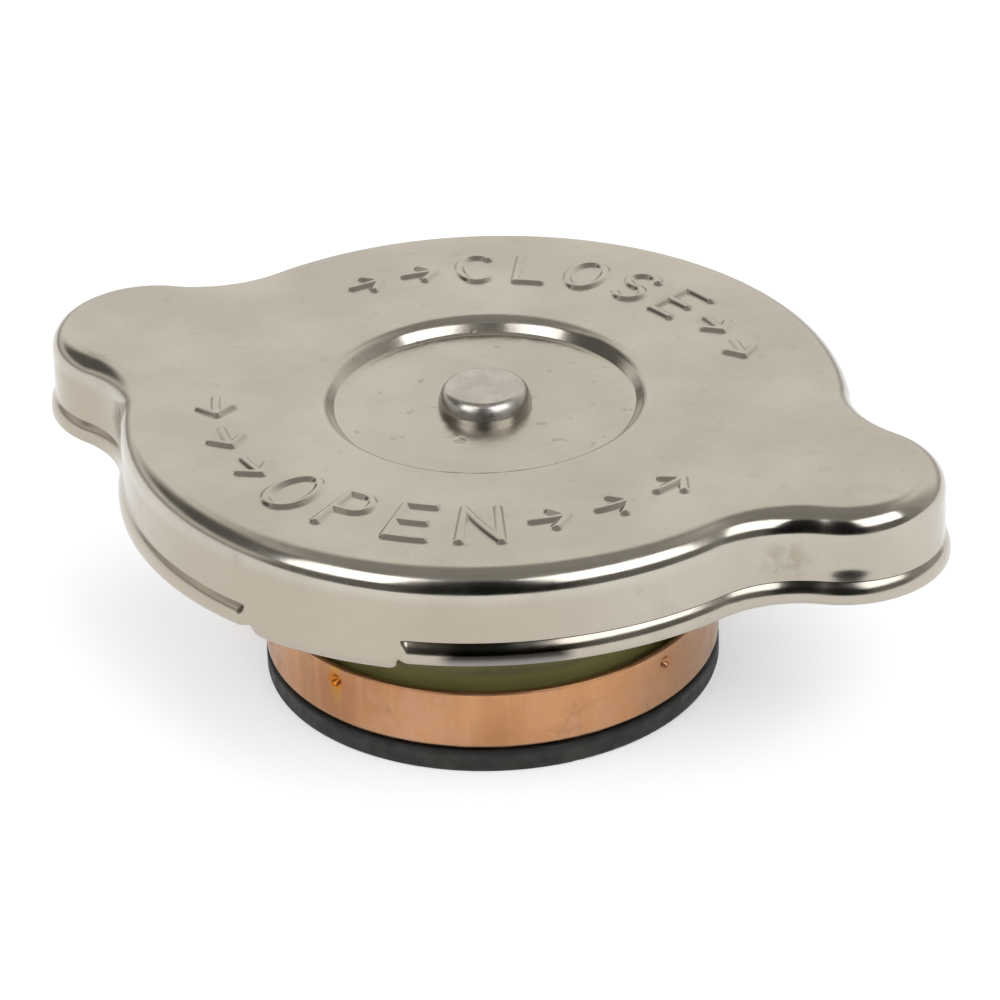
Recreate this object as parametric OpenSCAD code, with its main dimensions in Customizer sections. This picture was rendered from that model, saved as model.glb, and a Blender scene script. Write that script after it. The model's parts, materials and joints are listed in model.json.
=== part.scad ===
// Radiator pressure cap with a two-eared cover, a pressure valve and a vacuum valve.
// The cap stands on its lower gasket: Z is up, the ears lie along X and the locking tangs along Y.

/* [Cover] */
// Outside diameter of the round skirt
cover_d = 66.2; // [62:0.1:72]
// Height of the cover from its lip to its top face
cover_h = 8.7; // [7.5:0.1:11]
// Thickness of the cover sheet
cover_t = 0.9; // [0.7:0.05:1]
// Outside radius of the rounded top edge
edge_r = 2.1; // [1.4:0.1:2.6]
// How far an ear stands out beyond the skirt
ear_out = 10.9; // [9:0.1:13]
// Radius of an ear's round end
ear_r = 9.1; // [8:0.1:11]
// Radius of the hollow curve between ear and skirt
ear_fillet_r = 10.6; // [8:0.2:15]
// Outward step of the flared lip
lip_flare = 0.5; // [0.45:0.05:0.8]
// Slope of the flare, measured from upright
flare_angle = 33; // [26:1:34]
// Outside radius of the hollow bend above the flare
flare_hollow_r = 0.25; // [0.2:0.05:0.4]
// Outside radius of the rounded bend below the flare
flare_round_r = 1.95; // [1.4:0.05:2]
// Upright height of the lip below the flare
lip_h = 0.8; // [0.7:0.05:1.3]

/* [Locking tangs] */
// Width of a tang as an angle round the axis
tang_angle = 25; // [18:1:35]
// How far a tang reaches in from the skirt's outer face
tang_w = 4.6; // [3.5:0.1:5.5]
// How far a tang hangs below the lip
tang_drop = 1.4; // [0.2:0.1:2]
// Outside radius of the tang's bend
tang_bend_r = 1.5; // [1.2:0.1:2]

/* [Recess and rivet] */
// Diameter of the round recess across its rounded upper edge
recess_d = 30.8; // [28:0.2:34]
// Depth of the recess
recess_depth = 1.3; // [1:0.1:1.8]
// Slope of the recess's wall, measured from level
recess_wall_angle = 50; // [45:1:55]
// Radius of the recess's upper edge
recess_rim_r = 1.5; // [1.1:0.1:1.6]
// Radius of the recess's lower corner
recess_floor_r = 0.5; // [0.3:0.1:0.6]
// Diameter of the rivet's shank
rivet_d = 5; // [4:0.1:6]
// Diameter of the rivet's head
rivet_head_d = 8.5; // [7.5:0.1:9.5]
// Height of the rivet's head
rivet_head_h = 1.9; // [1.4:0.05:2.4]
// How far the head's tapered shoulder narrows on each side
rivet_taper_w = 0.2; // [0.1:0.05:0.5]
// Height of the head's tapered shoulder
rivet_taper_h = 1.1; // [0.8:0.1:1.2]
// Radius of the edges above and below the taper
rivet_edge_r = 0.7; // [0.3:0.05:0.8]
// Diameter of the rivet's clinched end
clinch_d = 8.4; // [7.5:0.1:10]
// Height of the rivet's clinched end
clinch_h = 1.2; // [0.9:0.1:1.6]
// Radius of the clinched end's lower edge
clinch_edge_r = 0.7; // [0.3:0.1:0.8]
// Radial running clearance of bell, diaphragm and washer on the rivet
swivel_clearance = 0.05; // [0.03:0.01:0.1]
// Axial play of the bell between cover and rivet
swivel_play = 0.04; // [0.02:0.01:0.1]

/* [Diaphragm and washer] */
// Height of the diaphragm's rim above the gasket's sealing face
seat_reach = 21.5; // [20:0.1:24]
// Gap between the diaphragm's rim and the inside of the skirt
diaphragm_gap = 2.6; // [1.5:0.1:3.5]
// Thickness of the diaphragm sheet
diaphragm_t = 0.35; // [0.25:0.05:0.5]
// Diameter of the diaphragm's flat middle
diaphragm_flat_d = 40; // [38:0.5:46]
// Height of the diaphragm's dish
dish_h = 2.8; // [2:0.1:3.5]
// Width of the diaphragm's flat rim
diaphragm_rim_w = 2.2; // [1.5:0.1:3]
// Outside diameter of the friction washer
washer_d = 14; // [10:0.5:20]
// Thickness of the friction washer
washer_t = 0.5; // [0.3:0.05:0.8]

/* [Bell housing] */
// Thickness of the bell sheet
bell_t = 0.6; // [0.5:0.05:0.7]
// Outside radius of the bell's upper corner
bell_corner_r = 1.8; // [1.2:0.1:3]
// Width of the foot flange beyond the bell's wall
foot_w = 1.15; // [1:0.05:1.4]
// Radius of the hollow corner above the foot flange
foot_bend_r = 0.3; // [0.2:0.05:0.4]
// Radial gap between foot flange and cup
foot_gap = 0.25; // [0.15:0.05:0.3]
// Number of vent holes in the bell's wall
vent_count = 4; // [2:1:6]
// Diameter of a vent hole
vent_d = 4; // [3:0.5:5]
// Height of the vent holes above the foot
vent_rise = 9.5; // [7:0.5:11]

/* [Pressure cup] */
// Outside diameter of the cup
cup_d = 42; // [40:0.2:44]
// Height of the cup
cup_h = 6.1; // [5.6:0.1:7]
// Thickness of the cup sheet
cup_t = 0.6; // [0.5:0.05:0.7]
// Outside radius of the cup's lower corner
cup_corner_r = 0.9; // [0.8:0.05:1.2]
// Number of stake marks that hold the bell's foot
stake_count = 4; // [3:1:6]
// Turn of the first stake mark from the X axis
stake_turn = -15.6; // [-45:0.1:45]
// Distance of a stake mark below the cup's rim
stake_drop = 1.5; // [1.2:0.1:1.8]
// Radius of the bump that a stake raises inside
stake_r = 0.7; // [0.6:0.05:0.8]
// How far a bump stands in from the cup's wall
stake_in = 0.5; // [0.45:0.05:0.6]
// Axial play of the bell's foot under the stakes
stake_play = 0.04; // [0.02:0.01:0.1]

/* [Gasket and retainer] */
// Thickness of the rubber ring
gasket_t = 2.2; // [2:0.1:3]
// Inside diameter of the thick ring
gasket_land_d = 23; // [22.5:0.5:28]
// Thickness of the thin inner web
gasket_web_t = 0.9; // [0.7:0.05:1]
// Radius of the rubber's outer edges
gasket_edge_r = 0.35; // [0.2:0.05:0.5]
// Outside diameter of the retainer's tube
retainer_d = 11; // [10.5:0.1:12]
// Thickness of the retainer sheet
retainer_t = 0.4; // [0.3:0.05:0.45]
// Width of the retainer's lower flange beyond its tube
retainer_flange_w = 2.2; // [1.6:0.1:2.4]
// Width of the retainer's rolled lip beyond its tube
retainer_lip_w = 1.2; // [0.8:0.1:1.6]
// Radial clearance of the tube in the rubber and the cup
retainer_clearance = 0.05; // [0.02:0.01:0.1]
// Number of flow holes through the retainer
flow_count = 4; // [3:1:5]
// Diameter of a flow hole
flow_d = 2; // [1.5:0.1:2.2]
// Radius of the circle of flow holes
flow_circle_r = 3.2; // [3:0.1:3.5]

/* [Vacuum valve] */
// Diameter of the stem
stem_d = 2.4; // [2:0.1:2.6]
// Radial running clearance of the stem in the retainer
stem_clearance = 0.05; // [0.03:0.01:0.1]
// Diameter of the valve disc
disc_d = 20.4; // [19:0.2:21]
// Thickness of the valve disc
disc_t = 0.5; // [0.35:0.05:0.6]
// Width of the raised sealing rim
disc_rim_w = 1; // [0.7:0.1:1.2]
// Gap between the disc and the retainer's flange
disc_gap = 0.08; // [0.04:0.01:0.12]
// Height of the light spring
vacuum_spring_h = 6.4; // [5:0.1:8]
// Diameter of the light spring's wire
vacuum_wire_d = 0.5; // [0.4:0.05:0.6]
// Turns of the light spring
vacuum_turns = 7; // [5:0.5:9]
// Radial gap between the stem and the light spring
vacuum_spring_gap = 0.6; // [0.4:0.05:0.8]
// Diameter of the spring keeper
keeper_d = 6.4; // [6:0.1:8]
// Thickness of the spring keeper
keeper_t = 0.6; // [0.4:0.05:1]
// Diameter of the stem's headed end
stem_head_d = 3.6; // [3.2:0.1:4.5]
// Height of the stem's headed end
stem_head_h = 0.6; // [0.4:0.1:1]

/* [Pressure spring] */
// Diameter of the main spring's wire
pressure_wire_d = 2; // [1.6:0.1:2.4]
// Turns of the main spring
pressure_turns = 5.5; // [4.5:0.5:6.5]
// Radial gap between the main spring and the bell's rounded corner
pressure_spring_gap = 0.1; // [0:0.1:0.8]

/* [Hidden] */
$fn = 96;
cut = 1;

// Plan of the cover: skirt circle, ear circles and the fillet circles that touch both
cover_r = cover_d / 2;
ear_x = cover_r + ear_out - ear_r;
fillet_to_axis = cover_r + ear_fillet_r;
fillet_to_ear = ear_r + ear_fillet_r;
fillet_x = (fillet_to_axis ^ 2 - fillet_to_ear ^ 2 + ear_x ^ 2) / (2 * ear_x);
fillet_y = sqrt(fillet_to_axis ^ 2 - fillet_x ^ 2);
skirt_from = atan2(fillet_y, fillet_x);
ear_half = atan2(fillet_y, fillet_x - ear_x);
tang_half = tang_angle / 2;
// Turn over which the lip passes into the tang
tang_end = 0.2;

// Heights of the pressure valve, from the gasket's sealing face up
cup_z = gasket_t;
cup_floor_z = cup_z + cup_t;
cup_rim_z = cup_z + cup_h;
stake_z = cup_rim_z - stake_drop;
foot_top_z = stake_z - stake_r - stake_play;
web_z = gasket_t - gasket_web_t;

// Heights of the stack on the rivet
bell_top_z = seat_reach + dish_h;
bell_plate_z = bell_top_z - bell_t;
washer_z = bell_top_z + diaphragm_t;
recess_under_z = washer_z + washer_t + swivel_play;
recess_floor_z = recess_under_z + cover_t;
clinch_top_z = bell_plate_z - swivel_play;

// Heights of the cover
top_z = recess_floor_z + recess_depth;
lip_z = top_z - cover_h;
tang_z = lip_z - tang_drop;
half_t = cover_t / 2;
// Sum of both bends' radii, and the length of the straight slope between the bends
flare_bends = flare_hollow_r + flare_round_r;
flare_slope = (lip_flare - flare_bends * (1 - cos(flare_angle))) / sin(flare_angle);
flare_low_z = lip_z + lip_h;
flare_top_z = flare_low_z + flare_bends * sin(flare_angle) + flare_slope * cos(flare_angle);

// Radii that pieces share
rivet_r = rivet_d / 2;
swivel_bore_r = rivet_r + swivel_clearance;
recess_r = recess_d / 2;
cup_r = cup_d / 2;
cup_in_r = cup_r - cup_t;
foot_r = cup_in_r - foot_gap;
bell_r = foot_r - foot_w;
bell_in_r = bell_r - bell_t;
diaphragm_r = cover_r - cover_t - diaphragm_gap;
diaphragm_flat_r = diaphragm_flat_d / 2;
gasket_land_r = gasket_land_d / 2;
retainer_r = retainer_d / 2;
retainer_bore_r = retainer_r + retainer_clearance;
stem_r = stem_d / 2;
disc_r = disc_d / 2;
pressure_coil_r = bell_r - bell_corner_r - pressure_spring_gap - pressure_wire_d / 2;
vacuum_coil_r = stem_r + vacuum_spring_gap + vacuum_wire_d / 2;

// Heights of the vacuum valve
retainer_flange_z = web_z - retainer_t;
retainer_top_z = cup_floor_z + retainer_t;
disc_top_z = retainer_flange_z - disc_gap;
keeper_z = retainer_top_z + vacuum_spring_h;
stem_head_z = keeper_z + keeper_t;

nickel = [0.74, 0.71, 0.65];
rivet_steel = [0.66, 0.66, 0.62];
spring_steel = [0.58, 0.58, 0.57];
copper = [0.72, 0.51, 0.35];
olive_brass = [0.47, 0.45, 0.28];
brass = [0.76, 0.62, 0.34];
rubber = [0.19, 0.18, 0.165];

// Part of a flat ring between two angles, up to a half turn
module ring_sector(r_out, r_in, from, to) {
    far = 3 * r_out;
    middle = (from + to) / 2;
    intersection() {
        difference() {
            circle(r_out);
            circle(r_in);
        }
        polygon([[0, 0], far * [cos(from), sin(from)], far * [cos(middle), sin(middle)], far * [cos(to), sin(to)]]);
    }
}

// Rectangle between two corners
module span(low, high) {
    translate(low) square(high - low);
}

// Points along an arc; the first point is left out where it repeats the one before
function arc(center, radius, from, to, steps, first = 0) =
    [for (i = [first:steps]) let (a = from + (to - from) * i / steps) center + radius * [cos(a), sin(a)]];

// Equal steps from one angle towards another, without the last
function angles(from, to, count) = [for (i = [0:count - 1]) from + (to - from) * i / count];

// One place on the cover's plan: centre and radius of its arc, bulge (1 out, -1 in), angle, tang or not
function place(center, radius, bulge, angle, tang = false) = [center, radius, bulge, angle, tang];

// Half of the plan, from the right ear round to the left one
half_plan = concat(
    [for (a = angles(-ear_half, ear_half, 12)) place([ear_x, 0], ear_r, 1, a)],
    [for (a = angles(180 + ear_half, 180 + skirt_from, 6)) place([fillet_x, fillet_y], ear_fillet_r, -1, a)],
    [for (a = angles(skirt_from, 90 - tang_half, 8)) place([0, 0], cover_r, 1, a)],
    [place([0, 0], cover_r, 1, 90 - tang_half)],
    [for (i = [-2:2]) place([0, 0], cover_r, 1, 90 + i / 2 * (tang_half - tang_end), true)],
    [for (a = angles(90 + tang_half, 180 - skirt_from, 8)) place([0, 0], cover_r, 1, a)],
    [for (a = angles(-skirt_from, -ear_half, 6)) place([-fillet_x, fillet_y], ear_fillet_r, -1, a)]
);
whole_plan = concat(half_plan, [for (p = half_plan) place(-p[0], p[1], p[2], p[3] + 180, p[4])]);

// Point of the plan, moved in from the wall by the given inset
function plan_point(p, inset) = p[0] + (p[1] - p[2] * inset) * [cos(p[3]), sin(p[3])];

// Section point [inset, z] on the wall, and section point [radius, z] on the round recess
function wall_point(p, q) = concat(plan_point(p, q[0]), q[1]);
function round_point(p, q) = let (d = plan_point(p, edge_r)) concat(q[0] * d / norm(d), q[1]);

// Sloped wall of the recess between its two bends, and the width that wall and bends take up together
recess_bends = recess_rim_r + recess_floor_r;
recess_slope = (recess_depth - recess_bends * (1 - cos(recess_wall_angle))) / sin(recess_wall_angle);
recess_wall_w = recess_bends * sin(recess_wall_angle) + recess_slope * cos(recess_wall_angle);

// Recess seen from above: floor, rounded corner, sloped wall and rounded rim
recess_corner = [recess_r - recess_wall_w, recess_floor_z + recess_floor_r];
recess_rim = [recess_r, top_z - recess_rim_r];
recess_above = concat(
    [[swivel_bore_r, recess_floor_z]],
    arc(recess_corner, recess_floor_r, 270, 270 + recess_wall_angle, 2),
    arc(recess_rim, recess_rim_r, 90 + recess_wall_angle, 90, 4)
);
recess_below = concat(
    arc(recess_rim, recess_rim_r - cover_t, 90, 90 + recess_wall_angle, 2),
    arc(recess_corner, recess_floor_r + cover_t, 270 + recess_wall_angle, 270, 3),
    [[swivel_bore_r, recess_under_z]]
);

// Rounded top edge, outside and inside
edge_center = [edge_r, top_z - edge_r];
edge_outside = arc(edge_center, edge_r, 90, 180, 5);
edge_inside = arc(edge_center, edge_r - cover_t, 180, 90, 3);

// Flared lip, down its outside, round its end and up its inside
flare_upper = [-flare_hollow_r, flare_top_z];
flare_lower = [flare_round_r - lip_flare, flare_low_z];
lip_loop = concat(
    arc(flare_upper, flare_hollow_r, 0, -flare_angle, 2),
    arc(flare_lower, flare_round_r, 180 - flare_angle, 180, 2),
    arc([half_t - lip_flare, lip_z + half_t], half_t, 180, 360, 3),
    arc(flare_lower, flare_round_r - cover_t, 180, 180 - flare_angle, 2),
    arc(flare_upper, flare_hollow_r + cover_t, -flare_angle, 0, 2)
);

// Straight wall and turned-in tang, with as many points as the lip
tang_bend = [tang_bend_r, tang_z + tang_bend_r];
tang_loop = concat(
    [[0, flare_top_z]],
    arc(tang_bend, tang_bend_r, 180, 270, 5),
    [[tang_w, tang_z], [tang_w, tang_z + cover_t]],
    arc(tang_bend, tang_bend_r - cover_t, 270, 180, 5),
    [[cover_t, flare_top_z]]
);

// The whole sheet's section at one place of the plan
function cover_ring(p) = concat(
    [for (q = recess_above) round_point(p, q)],
    [for (q = concat(edge_outside, p[4] ? tang_loop : lip_loop, edge_inside)) wall_point(p, q)],
    [for (q = recess_below) round_point(p, q)]
);

// Triangles of a tube of rings with the same number of points, closed at the last ring or left open
function tube_faces(rings, sides, closed) = [
    for (i = [0:rings - (closed ? 1 : 2)], j = [0:sides - 1], half = [0, 1])
        let (a = i * sides, b = (i + 1) % rings * sides, next = (j + 1) % sides)
        half == 0 ? [a + j, b + j, b + next] : [a + j, b + next, a + next]
];

module cover_shell() {
    rings = [for (p = whole_plan) cover_ring(p)];
    color(nickel) polyhedron(
        [for (ring = rings, q = ring) q],
        tube_faces(len(rings), len(rings[0]), closed = true),
        convexity = 8
    );
}

// Half section of the rivet's head on z = 0: upright side, tapered shoulder and flat top, with rounded edges
module rivet_head_section() {
    head_r = rivet_head_d / 2;
    taper = atan2(rivet_taper_w, rivet_taper_h);
    shoulder = [head_r, rivet_head_h - rivet_taper_h] - rivet_edge_r * [1, tan(taper / 2)];
    top_edge = [head_r - rivet_taper_w, rivet_head_h] - rivet_edge_r * [(1 - sin(taper)) / cos(taper), 1];
    polygon(concat(
        [[0, 0], [head_r, 0]],
        arc(shoulder, rivet_edge_r, 0, taper, 2),
        arc(top_edge, rivet_edge_r, taper, 90, 4),
        [[0, rivet_head_h]]
    ));
}

// Half section of the rivet's clinched end under z = 0, with a rounded lower edge
module clinch_section() {
    clinch_r = clinch_d / 2;
    edge = [clinch_r, -clinch_h] + clinch_edge_r * [-1, 1];
    polygon(concat([[0, 0], [0, -clinch_h]], arc(edge, clinch_edge_r, 270, 360, 4), [[clinch_r, 0]]));
}

module center_rivet() {
    color(rivet_steel) rotate_extrude() {
        translate([0, recess_floor_z]) rivet_head_section();
        span([0, clinch_top_z], [rivet_r, recess_floor_z]);
        translate([0, clinch_top_z]) clinch_section();
    }
}

module friction_washer() {
    color(brass) rotate_extrude() span([swivel_bore_r, washer_z], [washer_d / 2, washer_z + washer_t]);
}

// Dished disc: flat middle, cone and flat rim
module diaphragm_spring() {
    rim_in_r = diaphragm_r - diaphragm_rim_w;
    under = [[swivel_bore_r, bell_top_z], [diaphragm_flat_r, bell_top_z], [rim_in_r, seat_reach], [diaphragm_r, seat_reach]];
    above = [for (i = [3:-1:0]) under[i] + [0, diaphragm_t]];
    color(spring_steel) rotate_extrude() polygon(concat(under, above));
}

// Sheet of the bell: pierced plate, rounded corner, wall and outward foot flange
module bell_section() {
    corner = bell_corner_r;
    bend_r = bell_r + foot_bend_r;
    bend_z = foot_top_z + foot_bend_r;
    span([swivel_bore_r, bell_plate_z], [bell_r - corner, bell_top_z]);
    translate([bell_r - corner, bell_top_z - corner]) ring_sector(corner, corner - bell_t, 0, 90);
    span([bell_in_r, bend_z], [bell_r, bell_top_z - corner]);
    translate([bend_r, bend_z]) ring_sector(foot_bend_r + bell_t, foot_bend_r, 180, 270);
    span([bend_r, foot_top_z - bell_t], [foot_r, foot_top_z]);
}

module bell_housing() {
    color(olive_brass) difference() {
        rotate_extrude() bell_section();
        for (i = [0:vent_count - 1]) {
            rotate([0, 0, (i + 0.5) * 360 / vent_count]) translate([bell_in_r - cut, 0, foot_top_z + vent_rise])
                rotate([0, 90, 0]) cylinder(h = bell_t + 2 * cut, d = vent_d);
        }
    }
}

// Height of a coil's centre line after the given turns, with a closed turn at each end
function coil_z(turn, turns, wire, low, high) =
    let (
        closed = 1.05 * wire,
        start = low + 0.1 * wire,
        open = (high - low - 0.2 * wire - 2 * closed) / (turns - 2)
    )
    start + closed * min(turn, 1) + open * max(0, min(turn - 1, turns - 2)) + closed * max(0, turn - turns + 1);

// Round wire wound into a coil, with both ends ground flat
module coil(radius, wire, turns, low, high, steps, sides) {
    count = ceil(turns * steps);
    points = [
        for (i = [0:count], j = [0:sides - 1])
            let (
                turn = turns * i / count,
                around = 360 * turn,
                beside = 360 * (0.5 - j) / sides,
                reach = radius + wire / 2 * cos(beside),
                z = coil_z(turn, turns, wire, low, high) + wire / 2 * sin(beside)
            )
            [reach * cos(around), reach * sin(around), max(low, min(high, z))]
    ];
    first_end = [for (j = [0:sides - 1]) j];
    last_end = [for (j = [sides - 1:-1:0]) count * sides + j];
    polyhedron(points, concat(tube_faces(count + 1, sides, closed = false), [first_end, last_end]), convexity = 8);
}

module pressure_spring() {
    color(spring_steel)
        coil(pressure_coil_r, pressure_wire_d, pressure_turns, cup_floor_z, bell_plate_z, steps = 20, sides = 7);
}

// Sheet of the cup: pierced floor, rounded corner, wall and round-edged rim
module cup_section() {
    corner = cup_corner_r;
    rim_edge_r = cup_t / 2;
    span([retainer_bore_r, cup_z], [cup_r - corner, cup_floor_z]);
    translate([cup_r - corner, cup_z + corner]) ring_sector(corner, corner - cup_t, 270, 360);
    span([cup_in_r, cup_z + corner], [cup_r, cup_rim_z - rim_edge_r]);
    translate([cup_r - rim_edge_r, cup_rim_z - rim_edge_r]) circle(rim_edge_r);
}

// Places its children at each stake mark, at the given radius
module at_stakes(radius) {
    for (i = [0:stake_count - 1]) {
        rotate([0, 0, stake_turn + i * 360 / stake_count]) translate([radius, 0, stake_z]) children();
    }
}

module pressure_cup() {
    bump_r = cup_in_r - stake_in + stake_r;
    pit_r = bump_r + cup_t;
    color(copper) difference() {
        union() {
            rotate_extrude() cup_section();
            at_stakes(bump_r) sphere(stake_r);
        }
        at_stakes(pit_r) sphere(stake_r);
    }
}

// Rubber ring with a thin web that the retainer clamps
module pressure_gasket() {
    edge = gasket_edge_r;
    color(rubber) rotate_extrude() {
        span([retainer_bore_r, web_z], [gasket_land_r, gasket_t]);
        span([gasket_land_r, 0], [cup_r - edge, gasket_t]);
        span([cup_r - edge, edge], [cup_r, gasket_t - edge]);
        for (z = [edge, gasket_t - edge]) {
            translate([cup_r - edge, z]) circle(edge);
        }
    }
}

// Eyelet that clamps the rubber's web to the cup and guides the stem
module gasket_retainer() {
    color(brass) difference() {
        rotate_extrude() {
            span([retainer_r - retainer_t, retainer_flange_z], [retainer_r + retainer_flange_w, web_z]);
            span([retainer_r - retainer_t, retainer_flange_z], [retainer_r, retainer_top_z]);
            span([stem_r + stem_clearance, cup_floor_z], [retainer_r + retainer_lip_w, retainer_top_z]);
        }
        for (i = [0:flow_count - 1]) {
            rotate([0, 0, i * 360 / flow_count]) translate([flow_circle_r, 0, cup_floor_z - cut])
                cylinder(h = retainer_t + 2 * cut, d = flow_d);
        }
    }
}

// Turned disc with a raised sealing rim, and its headed stem
module vacuum_valve() {
    color(brass) rotate_extrude() {
        span([0, disc_top_z - disc_t], [disc_r, disc_top_z]);
        span([disc_r - disc_rim_w, disc_top_z - disc_t], [disc_r, web_z]);
        span([0, disc_top_z - disc_t], [stem_r, stem_head_z]);
        span([0, stem_head_z], [stem_head_d / 2, stem_head_z + stem_head_h]);
    }
}

module vacuum_spring() {
    color(spring_steel)
        coil(vacuum_coil_r, vacuum_wire_d, vacuum_turns, retainer_top_z, keeper_z, steps = 14, sides = 6);
}

module spring_keeper() {
    color(brass) rotate_extrude()
        span([stem_r + stem_clearance, keeper_z], [keeper_d / 2, keeper_z + keeper_t]);
}

cover_shell();
center_rivet();
friction_washer();
diaphragm_spring();
bell_housing();
pressure_spring();
pressure_cup();
pressure_gasket();
gasket_retainer();
vacuum_valve();
vacuum_spring();
spring_keeper();
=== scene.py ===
import json
import math

import bpy
import numpy as np
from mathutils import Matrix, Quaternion, Vector


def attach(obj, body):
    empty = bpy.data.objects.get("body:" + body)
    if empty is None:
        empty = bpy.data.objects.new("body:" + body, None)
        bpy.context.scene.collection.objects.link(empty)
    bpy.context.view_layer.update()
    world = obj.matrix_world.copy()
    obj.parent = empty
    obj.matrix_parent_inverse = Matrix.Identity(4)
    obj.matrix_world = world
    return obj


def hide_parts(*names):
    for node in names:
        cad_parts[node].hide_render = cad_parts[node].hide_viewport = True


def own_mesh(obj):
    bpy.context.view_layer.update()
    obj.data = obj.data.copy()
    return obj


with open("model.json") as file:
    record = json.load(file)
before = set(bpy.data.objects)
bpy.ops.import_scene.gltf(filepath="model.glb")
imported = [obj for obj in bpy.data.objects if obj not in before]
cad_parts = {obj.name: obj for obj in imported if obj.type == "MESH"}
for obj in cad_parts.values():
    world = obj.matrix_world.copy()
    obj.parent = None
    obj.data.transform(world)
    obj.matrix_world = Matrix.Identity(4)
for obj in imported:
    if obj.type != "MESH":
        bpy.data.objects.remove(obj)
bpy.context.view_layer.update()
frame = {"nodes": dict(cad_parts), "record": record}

MM = 0.001

# Cover sizes in millimetres, as in the part's source
COVER_R = 33.1
COVER_T = 0.9
EDGE_R = 2.1
EAR_X = 34.9
EAR_R = 9.1
FILLET_R = 10.6
LIP_FLARE = 0.5
FLARE_ANGLE = 33.0
FLARE_HOLLOW_R = 0.25
FLARE_ROUND_R = 1.95
LIP_H = 0.8
TANG_HALF = 12.5
TANG_END = 0.2
TANG_W = 4.6
TANG_DROP = 1.4
TANG_BEND_R = 1.5
BORE_R = 2.55
RECESS_R = 15.4
RECESS_WALL_ANGLE = 50.0
RECESS_RIM_R = 1.5
RECESS_FLOOR_R = 0.5
RECESS_UNDER_Z = 25.19
RECESS_FLOOR_Z = 26.09
TOP_Z = 27.39
LIP_Z = 18.69
TANG_Z = LIP_Z - TANG_DROP
TANG_FROM = 90 - TANG_HALF

# Straight slopes between the bends of the flare and of the recess's wall
SIN_FLARE = math.sin(math.radians(FLARE_ANGLE))
COS_FLARE = math.cos(math.radians(FLARE_ANGLE))
FLARE_BENDS = FLARE_HOLLOW_R + FLARE_ROUND_R
FLARE_SLOPE = (LIP_FLARE - FLARE_BENDS * (1 - COS_FLARE)) / SIN_FLARE
FLARE_LOW_Z = LIP_Z + LIP_H
FLARE_TOP_Z = FLARE_LOW_Z + FLARE_BENDS * SIN_FLARE + FLARE_SLOPE * COS_FLARE
SIN_WALL = math.sin(math.radians(RECESS_WALL_ANGLE))
COS_WALL = math.cos(math.radians(RECESS_WALL_ANGLE))
RECESS_BENDS = RECESS_RIM_R + RECESS_FLOOR_R
RECESS_SLOPE = (TOP_Z - RECESS_FLOOR_Z - RECESS_BENDS * (1 - COS_WALL)) / SIN_WALL
RECESS_WALL_W = RECESS_BENDS * SIN_WALL + RECESS_SLOPE * COS_WALL

# Degrees over which the flare fades out at a tang, and the rounded lower corner of a tang
LIP_FADE = 1.8
TANG_CORNER = 1.5
TANG_CORNER_H = 0.7

# Faint waves in the cover's top: their height, and the depths under the top where they begin and are full
WAVE_H = 0.02
WAVE_FROM = 0.4
WAVE_FULL = 0.02

# Dent in the side of the right ear: turn on the ear, height, spread along and up, depth, and reach inward
DENT_TURN = -63.0
DENT_Z = 22.3
DENT_ALONG = 2.3
DENT_UP = 1.1
DENT_DEPTH = 0.34
DENT_REACH = 2

# Centre of the hollow curve between ear and skirt
TO_AXIS = COVER_R + FILLET_R
TO_EAR = EAR_R + FILLET_R
FILLET_X = (TO_AXIS ** 2 - TO_EAR ** 2 + EAR_X ** 2) / (2 * EAR_X)
FILLET_Y = math.sqrt(TO_AXIS ** 2 - FILLET_X ** 2)
SKIRT_FROM = math.degrees(math.atan2(FILLET_Y, FILLET_X))
EAR_HALF = math.degrees(math.atan2(FILLET_Y, FILLET_X - EAR_X))

# Places round the cover's plan, closer together within a few degrees of a tang
EAR_STEPS = 80
HOLLOW_STEPS = 36
SKIRT_STEPS = 48
NEAR_TANG = 2.4
NEAR_TANG_STEPS = 17
TANG_STEPS = 41
FAR_FROM_TANG = 90

# Steps along the cover's section
RECESS_FLOOR_STEPS = 8
FLOOR_BEND_STEPS = 8
FLOOR_BEND_UNDER_STEPS = 10
RIM_STEPS = 16
RIM_UNDER_STEPS = 6
PLATE_STEPS = 9
EDGE_STEPS = 24
EDGE_UNDER_STEPS = 8
WALL_STEPS = 15
FLARE_HOLLOW_STEPS = 6
FLARE_ROUND_STEPS = 7
LIP_END_STEPS = 9
TANG_BEND_STEPS = 5
TANG_BEND_UNDER_STEPS = 2
LIP_SIDE_POINTS = FLARE_HOLLOW_STEPS + FLARE_ROUND_STEPS + 2


def smooth(x, low, high):
    """0 below low, 1 above high, and an even ease between."""
    t = np.clip((x - low) / (high - low), 0.0, 1.0)
    return t * t * (3 - 2 * t)


def linked(name, data):
    """New object of the scene that shows a mesh, lamp or camera."""
    obj = bpy.data.objects.new(name, data)
    bpy.context.scene.collection.objects.link(obj)
    return obj


def mesh_object(name, points, faces, sharp):
    """New mesh object from millimetre points, smooth shaded, with edges over sharp degrees kept hard."""
    mesh = bpy.data.meshes.new(name)
    mesh.from_pydata((np.asarray(points) * MM).tolist(), [], [tuple(f) for f in faces])
    mesh.validate()
    mesh.shade_smooth()
    mesh.set_sharp_from_angle(angle=math.radians(sharp))
    return linked(name, mesh)


def ring_quads(rings, sides, closed_rings=True, closed_sides=True):
    """Faces between neighbouring rings of points."""
    i = np.arange(rings if closed_rings else rings - 1)[:, None]
    j = np.arange(sides if closed_sides else sides - 1)[None, :]
    a, b, n = i * sides, (i + 1) % rings * sides, (j + 1) % sides
    return np.stack([a + j, b + j, b + n, a + n], -1).reshape(-1, 4)


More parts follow.
